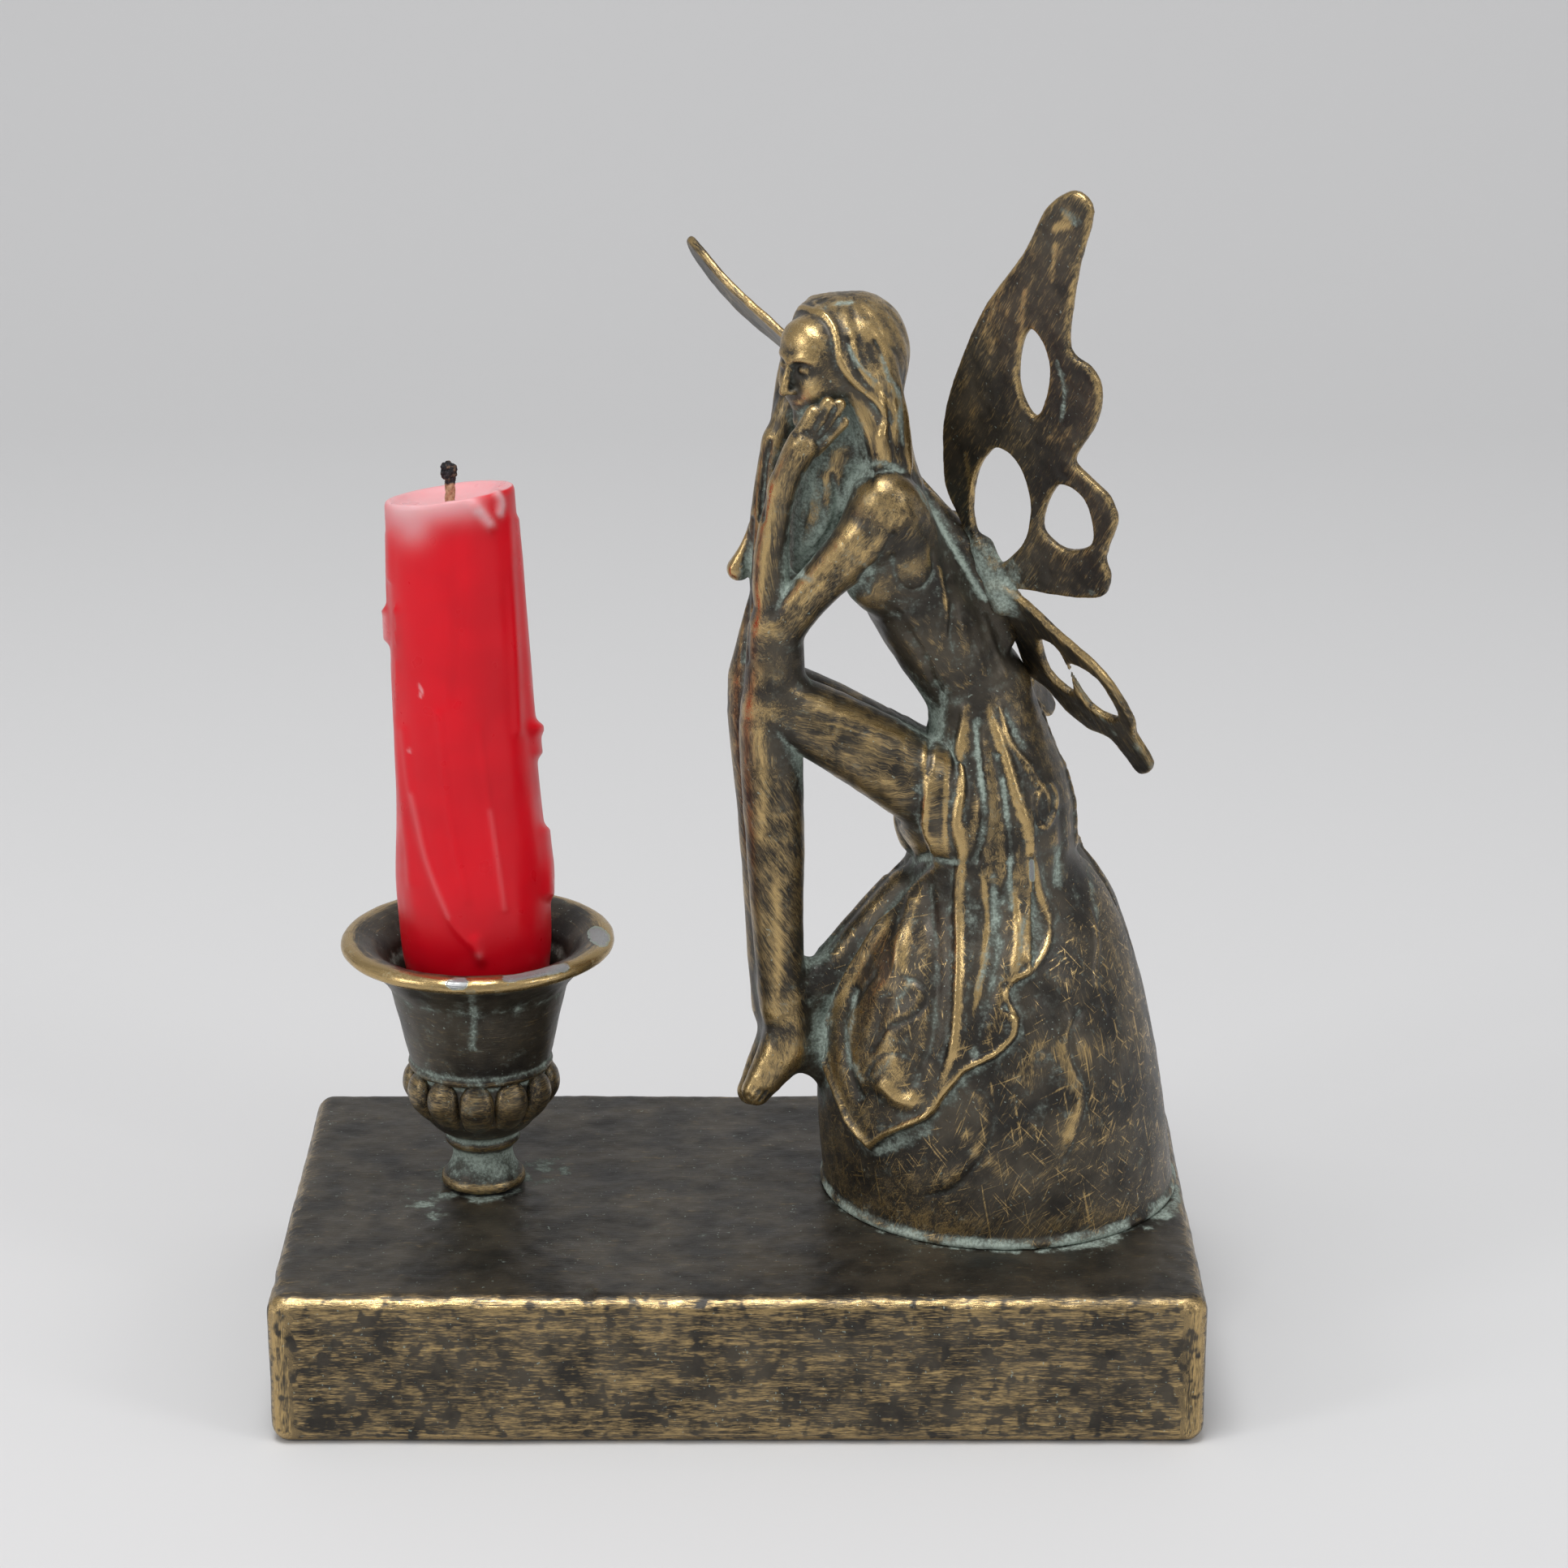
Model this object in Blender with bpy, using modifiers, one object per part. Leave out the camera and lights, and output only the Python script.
"""Fairy candle holder.

A rectangular plinth carries an urn-shaped candle cup on the left and, on the right, one casting of a fairy
sitting on a boulder. Two pierced plate wings are pegged into its back. A used taper candle stands in the cup.

Metres, +Z up. The origin is the centre of the plinth's underside, and -Y is the front.
"""
import math

import bmesh
import bpy
import numpy as np
from mathutils import Matrix, Vector

MM = 0.001

# Clearance between pieces that touch
SEAT_GAP = 0.0003

# Plinth
PLINTH_LENGTH = 0.1308
PLINTH_DEPTH = 0.0745
PLINTH_HEIGHT = 0.0225
PLINTH_ROUND = 0.0025

# Candle cup: place of its axis, then radii and heights above the plinth
CUP_INSET = 0.0278
CUP_OFFSET_Y = 0.0032
CUP_FOOT_RADIUS = 0.0060
CUP_FOOT_HEIGHT = 0.0012
CUP_WAIST_RADIUS = 0.0042
CUP_WAIST_HEIGHT = 0.0040
CUP_COLLAR_RADIUS = 0.0057
CUP_COLLAR_HEIGHT = 0.0070
CUP_BOWL_RADIUS = 0.0110
CUP_BOWL_HEIGHT = 0.0160
CUP_BOWL_TOP = 0.0188
CUP_LOBES = 12
CUP_LOBE_DEPTH = 0.0011
CUP_WALL_BASE_RADIUS = 0.0101
CUP_WALL_TOP_RADIUS = 0.0127
CUP_WALL_TOP = 0.0309
CUP_RIM_RADIUS = 0.0196
CUP_RIM_HEIGHT = 0.0375
CUP_RIM_THICKNESS = 0.0022
CUP_MOUTH_RADIUS = 0.0142
CUP_WALL = 0.0014
CUP_WELL_FLOOR = 0.0196

# Candle: it stands on the well's floor and leans a little to the left
CANDLE_BUTT_RADIUS = 0.0080
CANDLE_RIM_RADIUS = 0.0112
CANDLE_TOP_RADIUS = 0.0092
CANDLE_LENGTH = 0.0840
CANDLE_SHOULDER = 0.0240
CANDLE_LEAN = math.radians(1.9)
CANDLE_CRATER = 0.0020
CANDLE_TILT_X = 0.100
CANDLE_TILT_Y = -0.110
WICK_RADIUS = 0.0008
WICK_STAND = 0.0064
WICK_BURIED = 0.0040
WICK_CHAR_RADIUS = 0.0017

# Boulder: place of its axis, then its own turned form
ROCK_INSET = 0.0279
ROCK_OFFSET_Y = 0.0050
ROCK_RADIUS = 0.0256
ROCK_HEIGHT = 0.0545
ROCK_LEAN = 0.0020
ROCK_FULLNESS = 2.5
ROCK_RINGS = 12
ROCK_SKIRTING = 0.0030

# Wings
WING_THICKNESS = 0.0013
WING_ROOT_RADIUS = 0.0017
WING_PEG_RADIUS = 0.0014
WING_PEG_DEPTH = 0.0070
HOLE_EASE = 1.08

# Relief on the figure
DRESS_THICKNESS = 0.0013
FOLD_HEIGHT = 0.0011
FOLD_WIDTH = 0.0012
FIGURE_GRAIN = 0.0007
FIGURE_TRIANGLES = 7600

# The fairy's body: centres and radii in millimetres, from the middle of the boulder's foot.
# Left is the fairy's own left side, which is the near side.
LEFT_LEG = (
    (-6.5, -8.0, 59.4, 6.2), (-13.0, -8.5, 64.6, 6.0), (-19.7, -8.0, 68.8, 5.7), (-27.0, -7.2, 72.6, 5.2),
    (-32.3, -6.5, 74.6, 4.9), (-32.9, -6.5, 69.0, 4.5), (-32.4, -6.5, 58.9, 4.3), (-32.0, -6.5, 46.7, 3.9),
    (-31.7, -6.5, 36.2, 3.4), (-30.9, -6.5, 29.5, 3.5),
)
LEFT_FOOT = ((-30.6, -6.5, 30.5, 3.3), (-29.8, -6.8, 26.0, 3.4), (-32.2, -8.0, 20.8, 3.2), (-34.9, -9.0, 17.0, 2.2))
RIGHT_LEG = (
    (-7.0, 4.5, 57.0, 6.4), (-14.0, 4.2, 62.2, 6.0), (-21.2, 3.0, 67.2, 5.7), (-28.5, 2.5, 71.6, 5.2),
    (-34.4, 2.0, 74.4, 4.9), (-34.3, 1.6, 67.5, 4.5), (-33.3, 1.2, 56.0, 4.3), (-32.9, 0.8, 43.6, 3.9),
    (-32.9, 0.2, 33.1, 3.3), (-32.3, 0.0, 27.0, 3.3),
)
RIGHT_FOOT = ((-32.0, 0.0, 28.0, 3.2), (-31.0, -0.4, 23.4, 3.3), (-33.3, -1.6, 18.4, 3.1), (-35.7, -3.2, 14.6, 2.1))
TORSO = (
    (-2.0, -2.0, 60.0, 8.0), (-2.1, -2.0, 67.0, 7.2), (-3.6, -2.0, 75.6, 6.9), (-8.6, -2.0, 83.5, 7.7),
    (-12.6, -2.0, 91.0, 8.0), (-15.8, -2.0, 97.5, 7.2), (-18.0, -2.0, 103.0, 5.2),
)
TORSO_BREADTH = 1.15
CHEST = ((-17.6, -7.0, 94.4), (5.4, 5.2, 6.2))
SHOULDERS = ((-17.0, -12.5, 105.4, 4.2), (-18.0, -6.0, 104.8, 4.6), (-20.0, 2.0, 104.6, 4.6), (-23.0, 8.0, 104.5, 4.0))
NECK = ((-18.7, -2.0, 103.0, 4.4), (-21.0, -2.5, 110.0, 3.6), (-22.5, -3.0, 116.0, 3.6))
LEFT_ARM = (
    (-17.2, -13.0, 106.0, 4.1), (-19.6, -12.6, 101.6, 4.0), (-22.7, -11.5, 97.2, 3.6), (-27.6, -9.8, 91.5, 3.4),
    (-31.2, -8.4, 86.6, 3.7), (-32.5, -8.0, 88.5, 3.2), (-33.1, -8.2, 95.1, 2.8), (-32.3, -8.8, 101.5, 2.4),
    (-31.1, -9.5, 107.3, 2.1),
)
LEFT_PALM = ((-31.3, -9.5, 106.5, 2.1), (-30.0, -10.6, 110.6, 2.3), (-28.2, -11.4, 113.6, 2.6))
LEFT_FINGERS = (
    ((-28.6, -11.4, 113.9, 1.6), (-26.9, -12.2, 117.8, 1.2)),
    ((-27.4, -11.6, 114.6, 1.3), (-25.0, -12.5, 119.2, 1.0)),
    ((-26.6, -11.4, 113.9, 1.2), (-23.4, -12.3, 119.0, 0.9)),
    ((-26.8, -11.2, 112.6, 1.2), (-22.9, -12.0, 116.6, 0.9)),
)
RIGHT_ARM = (
    (-23.5, 8.5, 104.8, 3.9), (-27.5, 7.0, 96.5, 3.4), (-31.8, 3.4, 86.5, 3.7), (-32.6, 2.8, 89.0, 3.2),
    (-33.6, 2.6, 95.0, 2.8), (-33.2, 2.2, 104.3, 2.1), (-32.0, 1.6, 110.5, 2.4), (-30.2, 1.2, 115.5, 2.0),
)
KNEE_PADS = (((-32.2, -7.6, 85.5, 3.9), (-32.3, -6.9, 76.0, 4.4)), ((-32.8, 2.6, 84.5, 3.9), (-34.5, 2.1, 76.0, 4.4)))
HEEL_WEBS = (
    ((-31.0, -4.5, 31.5, 2.6), (-23.5, -3.0, 32.0, 3.2)),
    ((-29.6, -5.6, 22.6, 3.3), (-24.0, -3.4, 19.4, 3.2)),
    ((-32.6, -2.6, 48.0, 2.0), (-32.2, -3.0, 30.0, 2.4), (-31.6, -4.0, 22.0, 2.0)),
)

# Head and hair, in the same millimetres
SKULL = ((-22.9, -3.4, 123.2), (8.4, 7.8, 9.0))
FACE = ((-26.3, -6.0, 119.2), (5.6, 5.4, 7.4))
NOSE = ((-30.4, -10.2, 119.8, 0.9), (-31.3, -10.9, 117.6, 1.3))
HAIR_CAP = ((-22.0, -2.2, 124.0), (7.4, 8.4, 8.2))
BACK_HAIR = (
    (-21.6, -2.5, 124.5, 6.6), (-20.8, -2.2, 116.0, 6.0), (-18.8, -2.0, 109.0, 5.3), (-15.6, -2.0, 102.8, 4.7),
    (-12.4, -2.0, 97.4, 3.2),
)
NEAR_LOCK = (
    (-26.8, -7.6, 131.0, 1.5), (-24.6, -9.8, 129.3, 1.6), (-24.3, -11.0, 126.2, 1.7), (-22.6, -12.0, 122.4, 1.8),
    (-20.3, -12.4, 118.6, 1.9), (-18.3, -12.2, 114.8, 1.9), (-18.0, -11.6, 110.4, 1.6),
)
SIDE_HAIR = ((-21.0, -8.0, 122.0, 4.0), (-19.0, -8.8, 115.5, 4.0), (-17.4, -8.6, 109.5, 3.6))
FRONT_HAIR = ((-23.0, -5.0, 111.5, 4.8), (-25.4, -5.0, 105.5, 4.6), (-26.6, -5.0, 99.5, 3.6), (-28.4, -5.0, 94.8, 1.8))
CHEST_HAIR = ((-22.0, -2.0, 106.0, 4.6), (-24.5, -3.5, 99.5, 3.4))
FAR_LOCK = (
    (-29.6, 2.0, 124.0, 2.4), (-30.4, 4.2, 115.0, 2.2), (-31.5, 4.8, 106.8, 2.0), (-33.6, 4.2, 98.8, 1.8),
    (-35.8, 3.8, 94.4, 1.3), (-37.4, 3.6, 91.4, 1.7),
)

# Hips, skirt and the ridge that the wings are pegged into
SKIRT = (
    (-2.8, -2.0, 74.0, 7.0), (-2.0, -2.2, 67.0, 8.2), (-1.7, -2.4, 60.0, 10.3), (-1.2, -2.4, 53.0, 11.4),
    (-1.0, -2.0, 45.0, 12.0),
)
SKIRT_BREADTH = 1.12
LAP = ((-7.4, -4.0, 57.0), (7.6, 10.2, 6.0))
WING_RIDGE = ((-11.4, -1.0, 102.0, 2.2), (-7.4, -2.6, 97.0, 3.2), (-3.6, -3.8, 90.5, 3.2), (-0.6, -3.6, 84.0, 2.2))

# Where the sight lines of the front relief start, in the same millimetres. Each relief point below is the
# (x, z) at which its sight line crosses the plane y = RELIEF_PLANE_Y.
EYE = (-31.0, -570.6, 254.1)
RELIEF_PLANE_Y = -2.0
DRESS_FRONT = (
    (-24.9, 34.4), (-26.6, 27.0), (-26.0, 21.7), (-23.3, 14.3), (-21.5, 9.3), (-18.1, 4.6), (-15.5, 7.0),
    (-9.6, 9.8), (-8.0, 12.5), (-4.6, 17.1), (-0.1, 19.4), (2.8, 23.0), (3.1, 25.7), (1.1, 27.5), (1.2, 30.7),
    (4.3, 32.1), (7.2, 36.1), (7.3, 42.3), (4.9, 46.8), (4.0, 50.7), (12.0, 54.0), (14.0, 66.0), (8.0, 73.5),
    (-8.1, 73.1), (-10.8, 57.4), (-13.1, 50.0), (-20.0, 42.0),
)
DRESS_FOLDS = (
    ((-5.3, 71.9), (-6.0, 58.0), (-6.0, 46.8), (-6.6, 34.7), (-5.8, 25.7), (-6.4, 19.4), (-8.0, 15.3)),
    ((-1.2, 71.9), (0.6, 64.0), (1.9, 57.4), (3.8, 50.0)),
    ((-24.9, 23.1), (-22.9, 30.7), (-18.8, 37.6), (-15.3, 41.8)),
    ((-10.7, 67.7), (-10.9, 59.8), (-12.2, 53.1)),
    ((-3.4, 68.0), (-2.6, 56.0), (-2.8, 42.0), (-3.6, 30.0)),
    ((-24.9, 21.0), (-22.0, 12.5), (-18.1, 5.8), (-15.5, 7.8), (-9.8, 10.6), (-5.0, 17.6), (-0.6, 20.0), (2.4, 23.6)),
)
BACK_HEM_HEIGHT = 34.0
BACK_HEM_WAVE = 5.0
BACK_HEM_POINTS = 5
BACK_DRESS_TOP = 73.0
LAP_HEIGHT = 50.0

# Wing outlines in each plate's own plane: (along the wing, across it towards its trailing edge), millimetres
FORE_OUTLINE = (
    (-1.5, -1.5), (3.4, -5.8), (7.0, -9.3), (12.3, -11.0), (18.1, -12.0), (26.6, -11.4), (38.9, -9.0), (49.2, -5.2),
    (57.0, -3.6), (60.6, -1.7), (62.4, 0.6), (60.9, 3.5), (53.5, 3.6), (47.2, 4.0), (40.0, 5.2), (39.3, 8.5),
    (38.0, 10.7), (35.0, 11.9), (30.9, 11.8), (27.3, 10.7), (23.8, 10.0), (22.8, 12.7), (22.1, 16.0), (20.6, 17.8),
    (18.3, 18.7), (12.4, 18.3), (10.4, 19.6), (7.8, 20.0), (5.4, 18.6), (1.7, 12.3), (-0.2, 8.3), (-2.0, 4.7),
    (-3.4, 1.2),
)
FORE_HOLES = (
    ((39.0, -0.9), (37.6, 1.5), (34.5, 3.0), (29.8, 3.2), (27.2, 2.1), (28.5, -0.1), (31.6, -1.6), (36.2, -1.9)),
    ((17.7, -1.9), (17.0, 1.7), (13.1, 4.4), (7.8, 5.1), (4.1, 3.9), (0.9, 1.7), (2.6, -1.7), (6.2, -3.8),
     (11.6, -4.4), (15.3, -3.5)),
    ((19.0, 9.5), (18.9, 12.8), (15.8, 15.0), (12.8, 15.2), (10.0, 11.8), (10.5, 8.1), (13.8, 7.6), (17.3, 8.2)),
)
HIND_OUTLINE = (
    (-1.5, -1.6), (2.4, -4.6), (7.7, -5.9), (14.0, -8.2), (19.2, -8.3), (25.1, -6.2), (27.4, -4.1), (32.7, -2.3),
    (33.8, 1.6), (32.1, 2.3), (26.8, 1.9), (24.5, 5.1), (20.5, 6.8), (16.2, 7.0), (12.9, 8.4), (7.0, 4.6),
    (-0.5, 2.0),
)
HIND_HOLES = (
    ((9.0, -0.8), (11.2, -3.0), (17.6, 1.4), (14.0, 3.2)),
    ((14.0, -2.6), (16.9, -6.4), (23.2, -4.0), (20.6, 0.2)),
)

# Wing places: root, a point towards the tip and a facing direction, from the middle of the boulder's foot
LEFT_FORE_PLACE = ((-2.9, -5.0, 95.4), (0.153, -0.402, 0.903), (0.67, 0.72, 0.20))
LEFT_HIND_PLACE = ((-1.0, -6.0, 90.5), (0.64, -0.01, -0.77), (0.63, 0.58, 0.52))
RIGHT_FORE_PLACE = ((-5.5, 4.0, 96.7), (-0.635, 0.464, 0.618), (-0.742, -0.146, -0.653))
RIGHT_HIND_PLACE = ((-3.0, 3.5, 91.0), (0.33, 0.50, -0.80), (0.90, -0.35, 0.14))
LEFT_PEG_END = (-9.0, -2.6, 93.2)
RIGHT_PEG_END = (-9.8, -1.0, 93.8)
RIGHT_LENGTH_SCALE = 0.97
RIGHT_LEADING_SCALE = 0.55
RIGHT_HIND_SCALE = 0.70
RIGHT_HIND_SHIFT = 1.0


def clear_scene():
    """Remove whatever the file holds."""
    for item in list(bpy.data.objects):
        bpy.data.objects.remove(item, do_unlink=True)


def make_collection(name):
    """A collection under the scene's own."""
    group = bpy.data.collections.new(name)
    bpy.context.scene.collection.children.link(group)
    return group


def make_material(name, colour, metallic, roughness):
    """A plain Principled material."""
    material = bpy.data.materials.new(name)
    material.use_nodes = True
    shader = material.node_tree.nodes["Principled BSDF"]
    shader.inputs["Base Color"].default_value = (*colour, 1.0)
    shader.inputs["Metallic"].default_value = metallic
    shader.inputs["Roughness"].default_value = roughness
    return material


def link(item, group):
    """Put an object in a collection."""
    group.objects.link(item)
    return item


def new_object(name, mesh, group):
    """An object for a mesh, in a collection."""
    return link(bpy.data.objects.new(name, mesh), group)


def evaluated_mesh(item):
    """The object's mesh with its modifiers applied."""
    bpy.context.view_layer.update()
    graph = bpy.context.evaluated_depsgraph_get()
    return bpy.data.meshes.new_from_object(item.evaluated_get(graph))


def freeze(item, group):
    """Turn an object, curve or mesh, into a plain closed mesh object of the same name."""
    mesh = evaluated_mesh(item)
    shell = bmesh.new()
    shell.from_mesh(mesh)
    bmesh.ops.remove_doubles(shell, verts=shell.verts, dist=1e-6)
    bmesh.ops.recalc_face_normals(shell, faces=shell.faces)
    shell.to_mesh(mesh)
    shell.free()
    name = item.name
    place = item.matrix_world.copy()
    bpy.data.objects.remove(item, do_unlink=True)
    frozen = new_object(name, mesh, group)
    frozen.matrix_world = place
    return frozen


def union(items, group):
    """Join overlapping closed objects into the first one."""
    body = items[0]
    for other in items[1:]:
        cut = body.modifiers.new("join", "BOOLEAN")
        cut.operation = "UNION"
        cut.solver = "EXACT"
        cut.object = other
    joined = freeze(body, group)
    for other in items[1:]:
        bpy.data.objects.remove(other, do_unlink=True)
    return joined


def subtract(item, cutter):
    """Cut one object by another, which stays in the file as a wire guide."""
    cutter.hide_render = True
    cutter.display_type = "WIRE"
    cut = item.modifiers.new("cut_" + cutter.name, "BOOLEAN")
    cut.operation = "DIFFERENCE"
    cut.solver = "EXACT"
    cut.object = cutter


def shade_round(item):
    """Smooth shading with sharp edges kept."""
    item.data.shade_smooth()
    item.data.set_sharp_from_angle(angle=math.radians(40))


def tube(name, points, group, breadth=1.0):
    """A limb: a round tube through points that each give a centre and a radius in millimetres."""
    curve = bpy.data.curves.new(name, "CURVE")
    curve.dimensions = "3D"
    curve.bevel_depth = MM
    curve.bevel_resolution = 4
    curve.resolution_u = 8
    curve.use_fill_caps = True
    spline = curve.splines.new("NURBS")
    spline.points.add(len(points) - 1)
    spline.use_endpoint_u = True
    spline.order_u = min(3, len(points))
    for knot, (x, y, z, radius) in zip(spline.points, points):
        knot.co = (x * MM, y * MM, z * MM, 1.0)
        knot.radius = radius
    limb = freeze(new_object(name, curve, group), group)
    if breadth != 1.0:
        middle = sum(point[1] for point in points) / len(points) * MM
        widen = Matrix.Translation((0, middle, 0)) @ Matrix.Diagonal((1, breadth, 1, 1))
        limb.data.transform(widen @ Matrix.Translation((0, -middle, 0)))
    return limb


def egg(name, centre, radii, group):
    """An ellipsoid, centre and radii in millimetres."""
    shell = bmesh.new()
    bmesh.ops.create_uvsphere(shell, u_segments=28, v_segments=18, radius=MM)
    bmesh.ops.transform(shell, matrix=Matrix.Diagonal((*radii, 1.0)), verts=shell.verts)
    bmesh.ops.translate(shell, vec=Vector(centre) * MM, verts=shell.verts)
    mesh = bpy.data.meshes.new(name)
    shell.to_mesh(mesh)
    shell.free()
    return new_object(name, mesh, group)


def rounded_tube(name, points, group, breadth=1.0):
    """A tube with a ball at each end."""
    pieces = [tube(name, points, group, breadth)]
    for end, (x, y, z, radius) in enumerate((points[0], points[-1])):
        pieces.append(egg(f"{name}_end_{end}", (x, y, z), (radius, radius * breadth, radius), group))
    return pieces


def turned(name, profile, steps, group):
    """A turned solid from a profile of (radius, height) in metres, down the outer side from the top."""
    mesh = bpy.data.meshes.new(name)
    points = [(radius, 0.0, height) for radius, height in profile]
    edges = [(index, index + 1) for index in range(len(points) - 1)]
    mesh.from_pydata(points, edges, [])
    item = new_object(name, mesh, group)
    screw = item.modifiers.new("turn", "SCREW")
    screw.steps = steps
    screw.render_steps = steps
    screw.use_merge_vertices = True
    screw.merge_threshold = 0.00001
    screw.use_smooth_shade = True
    return item


def arc(centre, radius, start, end, count):
    """Points (radius, height) along an arc; angles in degrees from the outward direction."""
    points = []
    for index in range(count):
        angle = math.radians(start + (end - start) * index / (count - 1))
        points.append((centre[0] + radius * math.cos(angle), centre[1] + radius * math.sin(angle)))
    return points


def make_plinth(group):
    """The block with rounded edges."""
    bpy.ops.mesh.primitive_cube_add(size=1.0)
    block = bpy.context.active_object
    block.name = "plinth"
    block.data.name = "plinth"
    for owner in list(block.users_collection):
        owner.objects.unlink(block)
    link(block, group)
    block.data.transform(Matrix.Diagonal((PLINTH_LENGTH, PLINTH_DEPTH, PLINTH_HEIGHT, 1.0)))
    block.location = (0, 0, PLINTH_HEIGHT / 2)
    bevel = block.modifiers.new("rounded_edges", "BEVEL")
    bevel.width = PLINTH_ROUND
    bevel.segments = 3
    bevel.limit_method = "NONE"
    return block


def well_radius(height):
    """Inside radius of the cup's well at a height above the plinth."""
    share = (height - CUP_BOWL_TOP) / (CUP_WALL_TOP - CUP_BOWL_TOP)
    outer = CUP_WALL_BASE_RADIUS + share * (CUP_WALL_TOP_RADIUS - CUP_WALL_BASE_RADIUS)
    return outer - CUP_WALL


def cup_profile():
    """Half section of the cup: from the well's floor over the rim and down the outside."""
    rim = (CUP_RIM_RADIUS - CUP_RIM_THICKNESS / 2, CUP_RIM_HEIGHT)
    lobe = CUP_BOWL_RADIUS - CUP_COLLAR_RADIUS
    bowl_foot = CUP_COLLAR_HEIGHT + 0.0010
    profile = [
        (0.0, CUP_WELL_FLOOR),
        (well_radius(CUP_WELL_FLOOR) - 0.0010, CUP_WELL_FLOOR),
        (well_radius(CUP_WELL_FLOOR), CUP_WELL_FLOOR + 0.0010),
        (well_radius(CUP_WALL_TOP), CUP_WALL_TOP),
        (CUP_MOUTH_RADIUS - 0.0012, CUP_RIM_HEIGHT - 0.0030),
        (CUP_MOUTH_RADIUS, CUP_RIM_HEIGHT - 0.0010),
        (CUP_MOUTH_RADIUS + 0.0014, CUP_RIM_HEIGHT + 0.0004),
    ]
    profile += arc(rim, CUP_RIM_THICKNESS / 2, 90, -90, 6)
    profile += [
        (CUP_MOUTH_RADIUS + 0.0030, CUP_RIM_HEIGHT - 0.0026),
        (CUP_WALL_TOP_RADIUS + 0.0008, CUP_WALL_TOP + 0.0018),
        (CUP_WALL_TOP_RADIUS, CUP_WALL_TOP),
        (CUP_WALL_BASE_RADIUS, CUP_BOWL_TOP),
    ]
    bowl_rise = CUP_BOWL_HEIGHT - bowl_foot
    profile += [(CUP_BOWL_RADIUS - 0.0003, CUP_BOWL_TOP - 0.0014), (CUP_BOWL_RADIUS, CUP_BOWL_HEIGHT)]
    for step in range(1, 5):
        angle = math.radians(90 * step / 5)
        profile.append((CUP_COLLAR_RADIUS + lobe * math.cos(angle), CUP_BOWL_HEIGHT - bowl_rise * math.sin(angle)))
    profile += [
        (CUP_WAIST_RADIUS + 0.0006, bowl_foot),
        (CUP_COLLAR_RADIUS, CUP_COLLAR_HEIGHT),
        (CUP_COLLAR_RADIUS, CUP_COLLAR_HEIGHT - 0.0008),
        (CUP_WAIST_RADIUS + 0.0002, CUP_COLLAR_HEIGHT - 0.0018),
        (CUP_WAIST_RADIUS, CUP_WAIST_HEIGHT),
        (CUP_FOOT_RADIUS - 0.0006, CUP_FOOT_HEIGHT + 0.0006),
        (CUP_FOOT_RADIUS, CUP_FOOT_HEIGHT),
        (CUP_FOOT_RADIUS, 0.0),
        (0.0, 0.0),
    ]
    return profile


def lobe_bowl(mesh):
    """Press the bowl's outside into upright lobes."""
    low = CUP_COLLAR_HEIGHT + 0.0010
    high = CUP_BOWL_TOP
    for vertex in mesh.vertices:
        x, y, z = vertex.co
        radius = math.hypot(x, y)
        outside = radius > CUP_COLLAR_RADIUS * 0.9 and low < z < high
        if not outside:
            continue
        swell = math.sin(math.pi * (z - low) / (high - low))
        wave = abs(math.cos(math.atan2(y, x) * CUP_LOBES / 2)) - 0.5
        factor = 1 + CUP_LOBE_DEPTH * swell * wave / radius
        vertex.co.x = x * factor
        vertex.co.y = y * factor


def make_cup(group):
    """The cup, turned and then lobed."""
    cup = freeze(turned("candle_cup", cup_profile(), CUP_LOBES * 4, group), group)
    lobe_bowl(cup.data)
    cup.location = (CUP_INSET - PLINTH_LENGTH / 2, CUP_OFFSET_Y, PLINTH_HEIGHT + SEAT_GAP)
    shade_round(cup)
    return cup


def candle_place():
    """The candle's frame: its butt stands on the well's floor."""
    height = PLINTH_HEIGHT + CUP_WELL_FLOOR + 3 * SEAT_GAP
    stand = Matrix.Translation((CUP_INSET - PLINTH_LENGTH / 2 + 0.0004, CUP_OFFSET_Y, height))
    return stand @ Matrix.Rotation(-CANDLE_LEAN, 4, "Y")


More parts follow.
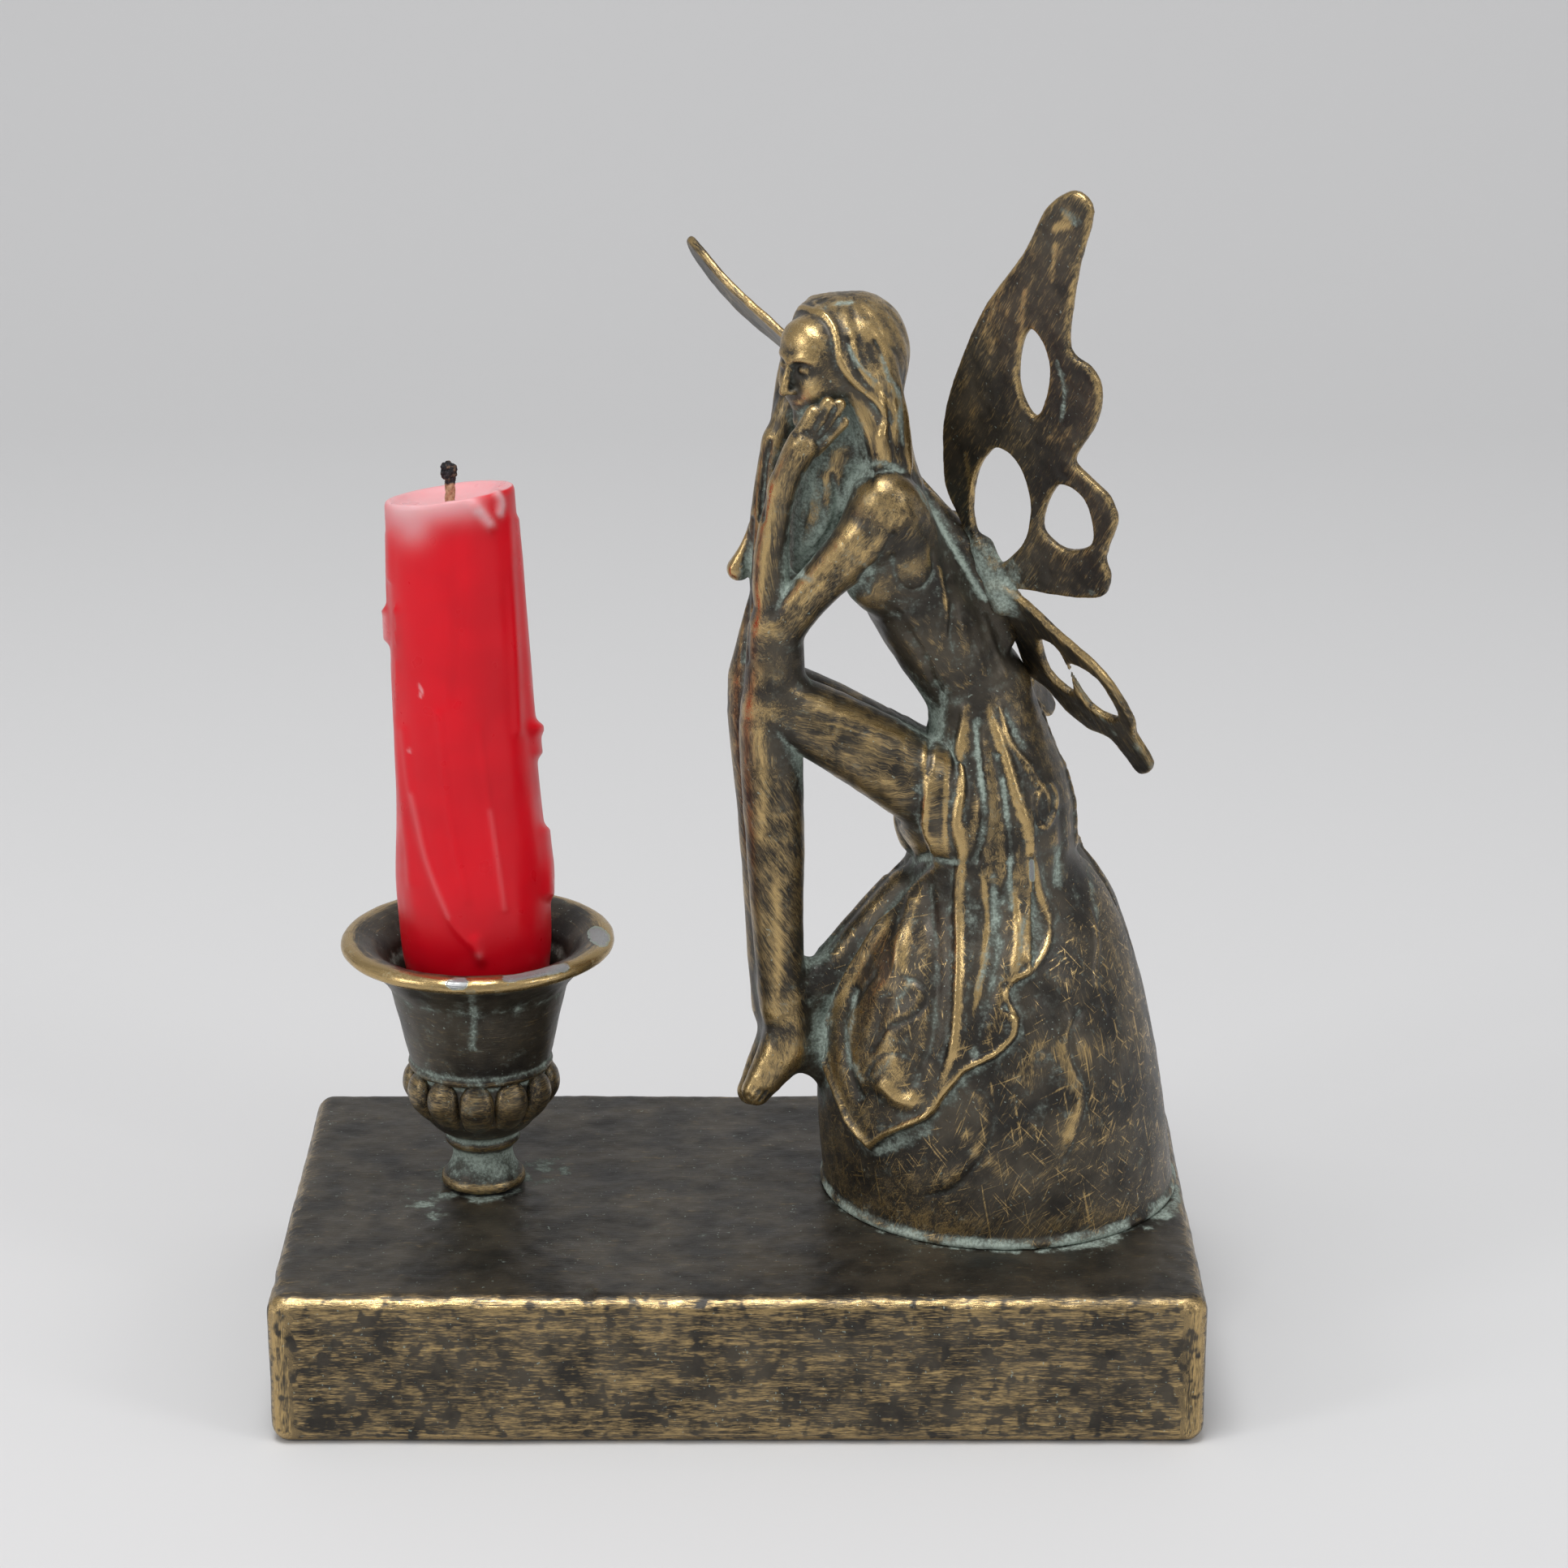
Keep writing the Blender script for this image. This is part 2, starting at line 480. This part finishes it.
def make_candle(group, cutters):
    """The candle, with its burnt crater and the bore that the wick stands in."""
    waist = CUP_RIM_HEIGHT - CUP_WELL_FLOOR
    profile = [
        (0.0, CANDLE_LENGTH - CANDLE_CRATER),
        (CANDLE_TOP_RADIUS * 0.55, CANDLE_LENGTH - CANDLE_CRATER * 0.9),
        (CANDLE_TOP_RADIUS * 0.86, CANDLE_LENGTH - CANDLE_CRATER * 0.2),
        (CANDLE_TOP_RADIUS * 0.95, CANDLE_LENGTH),
        (CANDLE_TOP_RADIUS, CANDLE_LENGTH - 0.0010),
        (CANDLE_TOP_RADIUS + 0.0005, CANDLE_LENGTH - 0.0170),
        (CANDLE_RIM_RADIUS - 0.0010, CANDLE_LENGTH - 0.0400),
        (CANDLE_RIM_RADIUS, CANDLE_SHOULDER + 0.0040),
        (CANDLE_RIM_RADIUS - 0.0004, waist - 0.0040),
        (CANDLE_BUTT_RADIUS + 0.0008, 0.0050),
        (CANDLE_BUTT_RADIUS, 0.0008),
        (CANDLE_BUTT_RADIUS - 0.0010, 0.0),
        (0.0, 0.0),
    ]
    candle = freeze(turned("candle", profile, 28, group), group)
    for vertex in candle.data.vertices:
        top = max(0.0, (vertex.co.z - CANDLE_LENGTH + 0.0120) / 0.0120)
        vertex.co.z += top * (CANDLE_TILT_X * vertex.co.x + CANDLE_TILT_Y * vertex.co.y)
    candle.matrix_world = candle_place()
    shade_round(candle)
    bore_top = CANDLE_LENGTH
    bore_foot = CANDLE_LENGTH - CANDLE_CRATER - WICK_BURIED
    bore = new_object("wick_bore", bpy.data.meshes.new("wick_bore"), cutters)
    shell = bmesh.new()
    radius = WICK_RADIUS + SEAT_GAP
    bmesh.ops.create_cone(shell, cap_ends=True, segments=10, radius1=radius, radius2=radius, depth=bore_top - bore_foot)
    bmesh.ops.translate(shell, vec=(0, 0, (bore_top + bore_foot) / 2), verts=shell.verts)
    shell.to_mesh(bore.data)
    shell.free()
    bore.matrix_world = candle_place()
    subtract(candle, bore)
    return candle


def make_wick(group):
    """The wick: a cord with a thicker burnt head."""
    foot = CANDLE_LENGTH - CANDLE_CRATER - WICK_BURIED + SEAT_GAP
    top = CANDLE_LENGTH - CANDLE_CRATER + WICK_STAND
    stations = ((foot, WICK_RADIUS), (top - 0.0030, WICK_RADIUS), (top - 0.0018, WICK_CHAR_RADIUS), (top, WICK_RADIUS))
    curve = bpy.data.curves.new("wick", "CURVE")
    curve.dimensions = "3D"
    curve.bevel_depth = 1.0
    curve.bevel_resolution = 2
    curve.use_fill_caps = True
    spline = curve.splines.new("POLY")
    spline.points.add(len(stations) - 1)
    for knot, (height, radius) in zip(spline.points, stations):
        knot.co = (0, 0, height, 1.0)
        knot.radius = radius
    item = new_object("wick", curve, group)
    item.matrix_world = candle_place()
    wick = freeze(item, group)
    shade_round(wick)
    return wick


def figure_place():
    """The figure's frame: the middle of the boulder's foot, seated on the plinth."""
    return Matrix.Translation((PLINTH_LENGTH / 2 - ROCK_INSET, ROCK_OFFSET_Y, PLINTH_HEIGHT + SEAT_GAP))


def make_rock(group):
    """The boulder: a turned dome that leans a little; it reaches below its seat and is cut flat later."""
    profile = [(0.0, ROCK_HEIGHT)]
    for step in range(1, ROCK_RINGS):
        share = math.cos(math.radians(90 * step / ROCK_RINGS))
        profile.append((ROCK_RADIUS * math.sqrt(1 - share**ROCK_FULLNESS), ROCK_HEIGHT * share))
    profile += [(ROCK_RADIUS, 0.0), (ROCK_RADIUS, -ROCK_SKIRTING), (0.0, -ROCK_SKIRTING)]
    rock = freeze(turned("rock", profile, 64, group), group)
    for vertex in rock.data.vertices:
        rise = min(1.0, max(0.0, vertex.co.z / ROCK_HEIGHT))
        vertex.co.x += ROCK_LEAN * (0.25 - math.sin(math.pi * rise))
    return rock


def figure_solids(group):
    """The rough solids that the figure is built up from."""
    solids = [make_rock(group)]
    limbs = dict(
        left_leg=LEFT_LEG, left_foot=LEFT_FOOT, right_leg=RIGHT_LEG, right_foot=RIGHT_FOOT, shoulders=SHOULDERS,
        neck=NECK, left_arm=LEFT_ARM, left_palm=LEFT_PALM, right_arm=RIGHT_ARM, nose=NOSE, back_hair=BACK_HAIR,
        near_lock=NEAR_LOCK, side_hair=SIDE_HAIR, front_hair=FRONT_HAIR, chest_hair=CHEST_HAIR, far_lock=FAR_LOCK,
        wing_ridge=WING_RIDGE,
    )
    for name, points in limbs.items():
        solids += rounded_tube(name, points, group)
    solids += rounded_tube("torso", TORSO, group, TORSO_BREADTH)
    solids += rounded_tube("skirt", SKIRT, group, SKIRT_BREADTH)
    for index, points in enumerate(LEFT_FINGERS + KNEE_PADS + HEEL_WEBS):
        solids += rounded_tube(f"small_{index}", points, group)
    for index, (centre, radii) in enumerate((SKULL, FACE, HAIR_CAP, CHEST, LAP)):
        solids.append(egg(f"mass_{index}", centre, radii, group))
    return solids


def blend(solids, group):
    """Fuse overlapping solids into one skin with soft joins."""
    shell = bmesh.new()
    for item in solids:
        shell.from_mesh(item.data)
        bpy.data.objects.remove(item, do_unlink=True)
    mesh = bpy.data.meshes.new("fairy_on_rock")
    shell.to_mesh(mesh)
    shell.free()
    body = new_object("fairy_on_rock", mesh, group)
    skin = body.modifiers.new("skin", "REMESH")
    skin.mode = "VOXEL"
    skin.voxel_size = FIGURE_GRAIN
    soften = body.modifiers.new("soften", "SMOOTH")
    soften.factor = 0.5
    soften.iterations = 4
    return freeze(body, group)


def front_points(places):
    """Where the sight line of each place crosses the relief plane."""
    eye = np.array(EYE) * MM
    share = (RELIEF_PLANE_Y * MM - eye[1]) / (places[:, 1] - eye[1])
    return np.stack((eye[0] + (places[:, 0] - eye[0]) * share, eye[2] + (places[:, 2] - eye[2]) * share), axis=1)


def line_distance(points, line):
    """Distance of each flat point from a broken line."""
    best = np.full(len(points), 1.0)
    for start, end in zip(line[:-1], line[1:]):
        start = np.array(start) * MM
        step = np.array(end) * MM - start
        share = np.clip(((points - start) @ step) / (step @ step), 0.0, 1.0)
        best = np.minimum(best, np.linalg.norm(points - start - share[:, None] * step, axis=1))
    return best


def inside(points, outline):
    """Whether each flat point lies inside a closed outline."""
    hit = np.zeros(len(points), dtype=bool)
    corners = np.array(outline) * MM
    for (x1, y1), (x2, y2) in zip(corners, np.roll(corners, -1, axis=0)):
        crosses = (y1 > points[:, 1]) != (y2 > points[:, 1])
        at = x1 + (points[:, 1] - y1) * (x2 - x1) / (y2 - y1 + 1e-12)
        hit ^= crosses & (points[:, 0] < at)
    return hit


def dress_layer(places, facing):
    """How far the dress stands off the body at each place, from 0 to 1."""
    flat = front_points(places)
    edge = line_distance(flat, DRESS_FRONT + DRESS_FRONT[:1])
    front = np.where(inside(flat, DRESS_FRONT), np.clip(edge / (0.8 * MM), 0.0, 1.0), 0.0)
    turn = np.arctan2(places[:, 1], places[:, 0])
    hem = (BACK_HEM_HEIGHT + BACK_HEM_WAVE * np.cos(BACK_HEM_POINTS * turn)) * MM
    left = np.where(places[:, 2] < LAP_HEIGHT * MM, -27.0, -15.0) * MM
    rise = np.clip((places[:, 2] - hem) / (1.5 * MM), 0.0, 1.0)
    fall = np.clip((BACK_DRESS_TOP * MM - places[:, 2]) / (1.5 * MM), 0.0, 1.0)
    reach = np.clip((places[:, 0] - left) / (1.5 * MM), 0.0, 1.0)
    seen = np.clip((facing + 0.30) / 0.35, 0.0, 1.0)
    return seen * front + (1 - seen) * rise * fall * reach


def emboss(body):
    """Raise the dress and its folds on the figure's skin."""
    mesh = body.data
    count = len(mesh.vertices)
    places = np.empty(count * 3)
    mesh.vertices.foreach_get("co", places)
    places = places.reshape(-1, 3)
    normals = np.empty(count * 3)
    mesh.vertex_normals.foreach_get("vector", normals)
    normals = normals.reshape(-1, 3)
    sight = np.array(EYE) * MM - places
    sight /= np.linalg.norm(sight, axis=1)[:, None]
    facing = np.einsum("ij,ij->i", normals, sight)
    flat = front_points(places)
    lift = dress_layer(places, facing) * DRESS_THICKNESS
    on_dress = (facing > 0.0) & (places[:, 0] > -27.0 * MM) & (places[:, 2] < 74.0 * MM)
    for fold in DRESS_FOLDS:
        crest = np.exp(-((line_distance(flat, fold) / FOLD_WIDTH) ** 2))
        lift += np.where(on_dress, crest * FOLD_HEIGHT, 0.0)
    places += normals * lift[:, None]
    mesh.vertices.foreach_set("co", places.ravel())
    mesh.update()


def lighten(body, group):
    """Mend the skin where the relief folded it, and keep the form with far fewer triangles."""
    skin = body.modifiers.new("skin", "REMESH")
    skin.mode = "VOXEL"
    skin.voxel_size = FIGURE_GRAIN
    body = freeze(body, group)
    triangles = sum(len(face.vertices) - 2 for face in body.data.polygons)
    thin = body.modifiers.new("thin", "DECIMATE")
    thin.ratio = min(1.0, FIGURE_TRIANGLES / triangles)
    thin.use_collapse_triangulate = True
    return freeze(body, group)


def plate_frame(place):
    """Axes of a wing plate: along the wing, across it to the trailing edge, and its normal."""
    root, along, facing = (Vector(part) for part in place)
    along = along.normalized()
    normal = (facing - facing.dot(along) * along).normalized()
    across = normal.cross(along)
    frame = Matrix((along, across, normal)).transposed().to_4x4()
    frame.translation = root * MM
    return frame


def eased_hole(points):
    """A hole made wider about its middle, for the plate's thickness as seen from the front."""
    middle = [sum(values) / len(points) for values in zip(*points)]
    return [tuple(m + (v - m) * HOLE_EASE for m, v in zip(middle, point)) for point in points]


def scaled_outline(points, length=1.0, leading=1.0, trailing=1.0, shift=0.0):
    """An outline made shorter, or narrower on its leading or trailing side."""
    return [(x * length, y * (leading if y < 0 else trailing) + shift) for x, y in points]


def smooth_loop(points):
    """A closed soft line through points, with one more point halfway along each span."""
    loop = []
    count = len(points)
    for index in range(count):
        before, start, end, after = (Vector(points[(index + step) % count]) for step in (-1, 0, 1, 2))
        loop += [start, (start + end) * 0.5625 - (before + after) * 0.0625]
    return loop


def widened_loop(loop, distance):
    """The loop with each point moved outwards by a distance."""
    count = len(loop)
    area = sum(loop[index - 1].cross(loop[index]) for index in range(count))
    moved = []
    for index, point in enumerate(loop):
        run = (loop[(index + 1) % count] - loop[index - 1]).normalized()
        outwards = Vector((run.y, -run.x)) * math.copysign(1.0, area)
        moved.append(point + outwards * distance)
    return moved


def slab(name, loop, thickness, place, group):
    """A flat slab with the loop as its outline, in the plane of a wing plate."""
    shell = bmesh.new()
    face = shell.faces.new([shell.verts.new((point.x * MM, point.y * MM, -thickness / 2)) for point in loop])
    lifted = bmesh.ops.extrude_face_region(shell, geom=[face])
    raised = [item for item in lifted["geom"] if isinstance(item, bmesh.types.BMVert)]
    bmesh.ops.translate(shell, vec=(0, 0, thickness), verts=raised)
    bmesh.ops.transform(shell, matrix=plate_frame(place), verts=shell.verts)
    bmesh.ops.recalc_face_normals(shell, faces=shell.faces)
    mesh = bpy.data.meshes.new(name)
    shell.to_mesh(mesh)
    shell.free()
    return new_object(name, mesh, group)


def plate(name, outline, holes, place, grow, group):
    """One wing plate, pierced by its holes; a grown plate is the room it takes up, so it has none."""
    loop = widened_loop(smooth_loop(outline), grow / MM)
    item = slab(name, loop, WING_THICKNESS + 2 * grow, place, group)
    if grow > 0:
        return item
    punches = [slab(name + "_hole", smooth_loop(hole), 3 * WING_THICKNESS, place, group) for hole in holes]
    for punch in punches:
        subtract(item, punch)
    pierced = freeze(item, group)
    for punch in punches:
        bpy.data.objects.remove(punch, do_unlink=True)
    return pierced


def wing(name, fore_place, hind_place, peg_end, far_side, grow, group):
    """A wing: upper plate, lower plate, the root that joins them and the peg that enters the back."""
    fore = [FORE_OUTLINE, *(eased_hole(hole) for hole in FORE_HOLES)]
    hind = [HIND_OUTLINE, *(eased_hole(hole) for hole in HIND_HOLES)]
    if far_side:
        fore = [scaled_outline(line, RIGHT_LENGTH_SCALE, RIGHT_LEADING_SCALE) for line in fore]
        hind = [scaled_outline(line, 1.0, RIGHT_HIND_SCALE, RIGHT_HIND_SCALE, RIGHT_HIND_SHIFT) for line in hind]
    upper = plate(name, fore[0], fore[1:], fore_place, grow, group)
    lower = plate(name + "_lower", hind[0], hind[1:], hind_place, grow, group)
    root_radius = WING_ROOT_RADIUS / MM + grow / MM
    peg_radius = WING_PEG_RADIUS / MM + grow / MM
    fore_root = Vector(fore_place[0])
    hind_root = Vector(hind_place[0])
    lean = (fore_root - hind_root).normalized() * (1.5 + grow / MM)
    ends = (fore_root + lean, hind_root - lean)
    root = tube(name + "_root", [(*end, root_radius) for end in ends], group)
    peg_start = fore_root.lerp(hind_root, 0.3)
    inward = (Vector(peg_end) - peg_start).normalized()
    peg_tip = peg_start + inward * (WING_PEG_DEPTH + grow) / MM
    peg = tube(name + "_peg", [(*peg_start, peg_radius), (*peg_tip, peg_radius)], group)
    return union([upper, lower, root, peg], group)


def make_figure(group, cutters):
    """The casting: fairy, hair, dress and boulder in one."""
    body = blend(figure_solids(group), group)
    emboss(body)
    body = lighten(body, group)
    body.matrix_world = figure_place()
    floor = new_object("seat_cut", bpy.data.meshes.new("seat_cut"), cutters)
    shell = bmesh.new()
    bmesh.ops.create_cube(shell, size=4 * ROCK_RADIUS)
    bmesh.ops.translate(shell, vec=(0, 0, -2 * ROCK_RADIUS), verts=shell.verts)
    shell.to_mesh(floor.data)
    shell.free()
    floor.matrix_world = figure_place()
    subtract(body, floor)
    return body


def make_wings(body, group, cutters):
    """Both wings, and the sockets that they leave in the figure's back."""
    sides = (
        ("wing_left", LEFT_FORE_PLACE, LEFT_HIND_PLACE, LEFT_PEG_END, False),
        ("wing_right", RIGHT_FORE_PLACE, RIGHT_HIND_PLACE, RIGHT_PEG_END, True),
    )
    wings = []
    for name, fore_place, hind_place, peg_end, far_side in sides:
        item = wing(name, fore_place, hind_place, peg_end, far_side, 0.0, group)
        item.matrix_world = figure_place()
        socket = wing(name + "_socket", fore_place, hind_place, peg_end, far_side, SEAT_GAP, cutters)
        socket.matrix_world = figure_place()
        subtract(body, socket)
        wings.append(item)
    return wings


def paint(items, material):
    """Give each object its material."""
    for item in items:
        item.data.materials.clear()
        item.data.materials.append(material)


def main():
    clear_scene()
    parts = make_collection("fairy_candle_holder")
    cutters = make_collection("cutters")
    plinth = make_plinth(parts)
    cup = make_cup(parts)
    candle = make_candle(parts, cutters)
    wick = make_wick(parts)
    body = make_figure(parts, cutters)
    wings = make_wings(body, parts, cutters)
    paint([plinth], make_material("plinth_bronze", (0.150, 0.112, 0.062), 0.85, 0.46))
    paint([cup], make_material("cup_bronze", (0.165, 0.125, 0.070), 0.85, 0.42))
    paint([body], make_material("figure_bronze", (0.185, 0.140, 0.078), 0.85, 0.44))
    for item in wings:
        paint([item], make_material(item.name + "_bronze", (0.170, 0.122, 0.066), 0.85, 0.44))
    paint([candle], make_material("red_wax", (0.620, 0.012, 0.040), 0.0, 0.35))
    paint([wick], make_material("charred_cotton", (0.020, 0.018, 0.020), 0.0, 0.90))


main()
